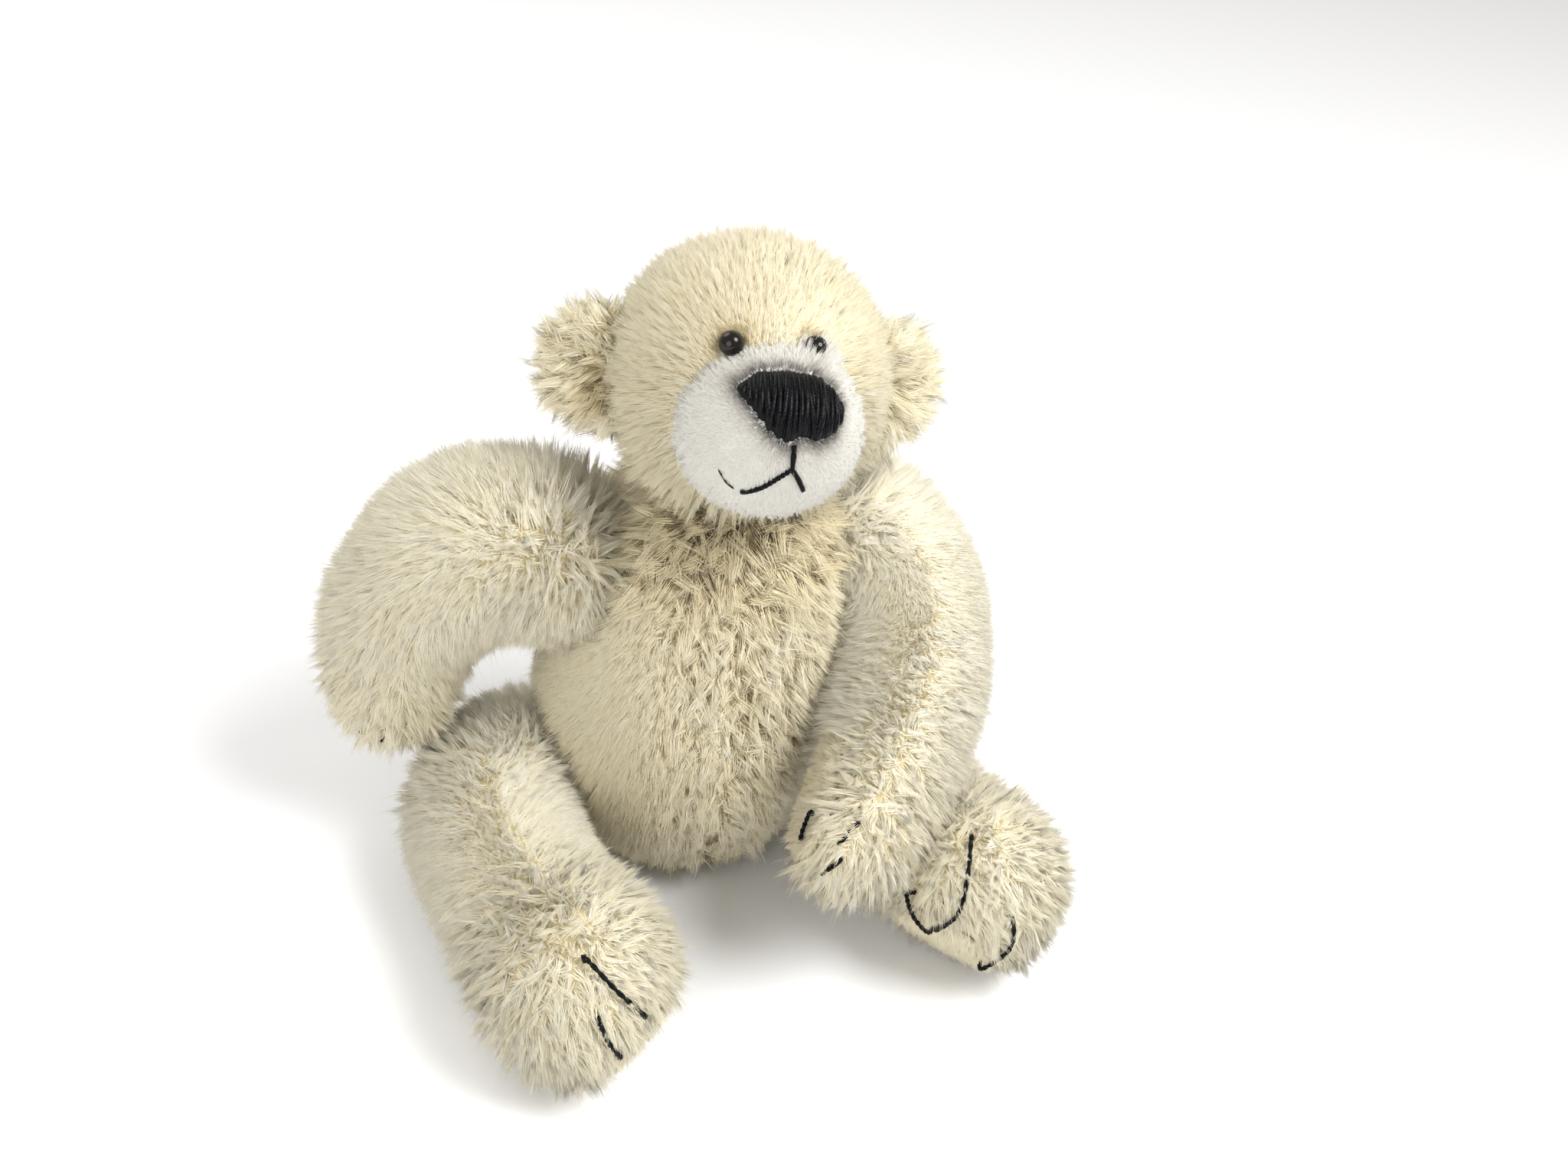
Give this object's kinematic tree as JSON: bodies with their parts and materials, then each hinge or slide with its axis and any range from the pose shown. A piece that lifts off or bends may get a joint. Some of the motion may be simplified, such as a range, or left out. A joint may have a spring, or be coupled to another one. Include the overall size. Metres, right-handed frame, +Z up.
{
  "type": "jointed teddy bear",
  "caption": "Sitting mohair teddy bear with a short-pile muzzle, stitched nose and disc joints that let the head, arms and legs turn.",
  "frame": {"origin": "centre of the flat seat under the body, where the bear sits on the ground", "axes": "+Z is up, the bear's body faces -Y, and +X is the bear's own left side"},
  "size_m": [0.12, 0.096, 0.1191],
  "materials": {
    "mohair": "long cream mohair pile on a tan woven backing",
    "velour": "short dense off-white pile",
    "felt": "matt pale felt",
    "stuffing": "loose polyester filling",
    "shot_cloth": "plain calico bag of steel shot",
    "black_thread": "satin black embroidery thread",
    "eye_glass": "polished opaque black glass",
    "fibreboard": "pressed brown fibreboard",
    "steel": "plain bright steel"
  },
  "bodies": {
    "torso": {"body_panel_right": "mohair", "body_panel_left": "mohair", "body_stuffing": "stuffing", "shot_bag": "shot_cloth", "neck_split_pin": "steel", "neck_body_disc": "fibreboard", "neck_body_washer": "steel", "shoulder_right_split_pin": "steel", "shoulder_right_body_disc": "fibreboard", "shoulder_right_body_washer": "steel", "shoulder_left_split_pin": "steel", "shoulder_left_body_disc": "fibreboard", "shoulder_left_body_washer": "steel", "hip_right_split_pin": "steel", "hip_right_body_disc": "fibreboard", "hip_right_body_washer": "steel", "hip_left_split_pin": "steel", "hip_left_body_disc": "fibreboard", "hip_left_body_washer": "steel"},
    "head": {"head_panel_right": "mohair", "head_panel_left": "mohair", "head_gusset": "mohair", "muzzle_cover": "velour", "head_stuffing": "stuffing", "ear_right": "mohair", "ear_left": "mohair", "eye_right": "eye_glass", "eye_left": "eye_glass", "nose_stitching": "black_thread", "mouth_stitching": "black_thread", "neck_head_disc": "fibreboard", "neck_head_washer": "steel"},
    "arm_right": {"arm_right_outer_panel": "mohair", "arm_right_inner_panel": "mohair", "arm_right_stuffing": "stuffing", "arm_right_paw_pad": "felt", "arm_right_claw_thread": "black_thread", "shoulder_right_arm_disc": "fibreboard", "shoulder_right_arm_washer": "steel"},
    "arm_left": {"arm_left_outer_panel": "mohair", "arm_left_inner_panel": "mohair", "arm_left_stuffing": "stuffing", "arm_left_paw_pad": "felt", "arm_left_claw_thread": "black_thread", "shoulder_left_arm_disc": "fibreboard", "shoulder_left_arm_washer": "steel"},
    "leg_right": {"leg_right_outer_panel": "mohair", "leg_right_inner_panel": "mohair", "leg_right_stuffing": "stuffing", "leg_right_foot_pad": "felt", "leg_right_claw_thread": "black_thread", "hip_right_leg_disc": "fibreboard", "hip_right_leg_washer": "steel"},
    "leg_left": {"leg_left_outer_panel": "mohair", "leg_left_inner_panel": "mohair", "leg_left_stuffing": "stuffing", "leg_left_foot_pad": "felt", "leg_left_claw_thread": "black_thread", "hip_left_leg_disc": "fibreboard", "hip_left_leg_washer": "steel"}
  },
  "joints": [
    {"name": "neck_turn", "type": "hinge", "parent": "torso", "child": "head", "pos_m": [0.004, -0.003, 0.079], "axis": [0, 0, 1], "continuous": true},
    {"name": "shoulder_right", "type": "hinge", "parent": "torso", "child": "arm_right", "pos_m": [-0.0158, 0, 0.062], "axis": [-1, 0, 0], "range_deg": [-45, 120]},
    {"name": "shoulder_left", "type": "hinge", "parent": "torso", "child": "arm_left", "pos_m": [0.0198, 0, 0.06], "axis": [-1, 0, 0], "range_deg": [0, 60]},
    {"name": "hip_right", "type": "hinge", "parent": "torso", "child": "leg_right", "pos_m": [-0.022, 0, 0.0145], "axis": [-1, 0, 0], "range_deg": [-85, 15]},
    {"name": "hip_left", "type": "hinge", "parent": "torso", "child": "leg_left", "pos_m": [0.022, 0, 0.0145], "axis": [-1, 0, 0], "range_deg": [-85, 0]}
  ]
}
